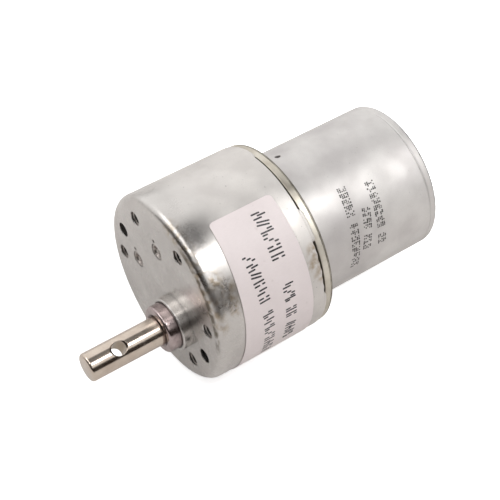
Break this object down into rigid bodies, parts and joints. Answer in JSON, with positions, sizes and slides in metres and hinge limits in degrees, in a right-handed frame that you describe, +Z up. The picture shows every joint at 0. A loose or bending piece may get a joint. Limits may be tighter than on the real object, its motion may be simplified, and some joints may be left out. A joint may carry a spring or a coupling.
{
  "type": "geared dc motor",
  "caption": "Brushed motor in a round can behind a drawn steel spur gearbox, with an off-centre cross-drilled output shaft and a face with tapped fixing holes.",
  "frame": {"origin": "centre of the gearbox's flat front face, on the motor's axis", "axes": "+Y runs from the front face back along the motor, so the output shaft points along -Y; +Z up"},
  "size_m": [0.0407, 0.082, 0.0406],
  "materials": {
    "zinc_plate": "satin zinc-plated steel",
    "can_plate": "satin plated steel",
    "polished_steel": "ground and polished steel",
    "gear_steel": "machined steel",
    "sintered_bronze": "dark oil-filled sintered bronze",
    "brass": "bright brass",
    "ferrite": "matte ferrite",
    "laminations": "stacked silicon steel",
    "copper_wire": "enamelled copper wire",
    "copper": "bare copper",
    "carbon": "matte carbon",
    "black_plastic": "moulded black plastic",
    "label_paper": "coated paper"
  },
  "bodies": {
    "stator": {"gearbox_housing": "zinc_plate", "gearbox_back_plate": "zinc_plate", "idler_pin_1": "polished_steel", "idler_pin_2": "polished_steel", "pin_1_front_spacer": "brass", "pin_1_rear_spacer": "brass", "pin_2_front_spacer": "brass", "pin_2_rear_spacer": "brass", "output_bush": "sintered_bronze", "output_rear_bush": "sintered_bronze", "motor_screw_1": "polished_steel", "motor_screw_2": "polished_steel", "motor_can": "can_plate", "motor_front_bush": "sintered_bronze", "motor_rear_bush": "sintered_bronze", "magnet_1": "ferrite", "magnet_2": "ferrite", "magnet_clip": "gear_steel", "brush_1": "carbon", "brush_2": "carbon", "brush_arm_1": "brass", "brush_arm_2": "brass", "terminal_1": "brass", "terminal_2": "brass", "end_cap": "black_plastic", "label": "label_paper"},
    "armature": {"motor_shaft": "polished_steel", "motor_pinion": "brass", "armature_core": "laminations", "winding_1": "copper_wire", "winding_2": "copper_wire", "winding_3": "copper_wire", "commutator_hub": "black_plastic", "commutator_segment_1": "copper", "commutator_segment_2": "copper", "commutator_segment_3": "copper", "armature_front_washer": "black_plastic", "armature_rear_washer": "black_plastic"},
    "gear_1": {"gear_1_wheel": "brass", "gear_1_pinion": "gear_steel"},
    "gear_2": {"gear_2_wheel": "gear_steel", "gear_2_pinion": "gear_steel"},
    "gear_3": {"gear_3_wheel": "gear_steel", "gear_3_pinion": "gear_steel"},
    "output": {"output_shaft": "polished_steel", "output_gear": "gear_steel", "output_thrust_washer": "polished_steel", "output_clip": "gear_steel"}
  },
  "joints": [
    {"name": "armature_spin", "type": "hinge", "parent": "stator", "child": "armature", "pos_m": [0, 0.04, 0], "axis": [0, 1, 0], "continuous": true},
    {"name": "gear_1_spin", "type": "hinge", "parent": "stator", "child": "gear_1", "pos_m": [-0.00948, 0.017, 0.00066], "axis": [0, 1, 0], "continuous": true},
    {"name": "gear_2_spin", "type": "hinge", "parent": "stator", "child": "gear_2", "pos_m": [-0.00189, 0.013, 0.00931], "axis": [0, 1, 0], "continuous": true},
    {"name": "gear_3_spin", "type": "hinge", "parent": "stator", "child": "gear_3", "pos_m": [-0.00948, 0.009, 0.00066], "axis": [0, 1, 0], "continuous": true},
    {"name": "output_spin", "type": "hinge", "parent": "stator", "child": "output", "pos_m": [0.00493, 0, -0.00433], "axis": [0, 1, 0], "continuous": true}
  ],
  "couplings": [
    {"joint": "gear_1_spin", "follows": "armature_spin", "ratio": -0.35714},
    {"joint": "gear_2_spin", "follows": "armature_spin", "ratio": 0.099206},
    {"joint": "gear_3_spin", "follows": "armature_spin", "ratio": -0.027557},
    {"joint": "output_spin", "follows": "armature_spin", "ratio": 0.0097982}
  ]
}
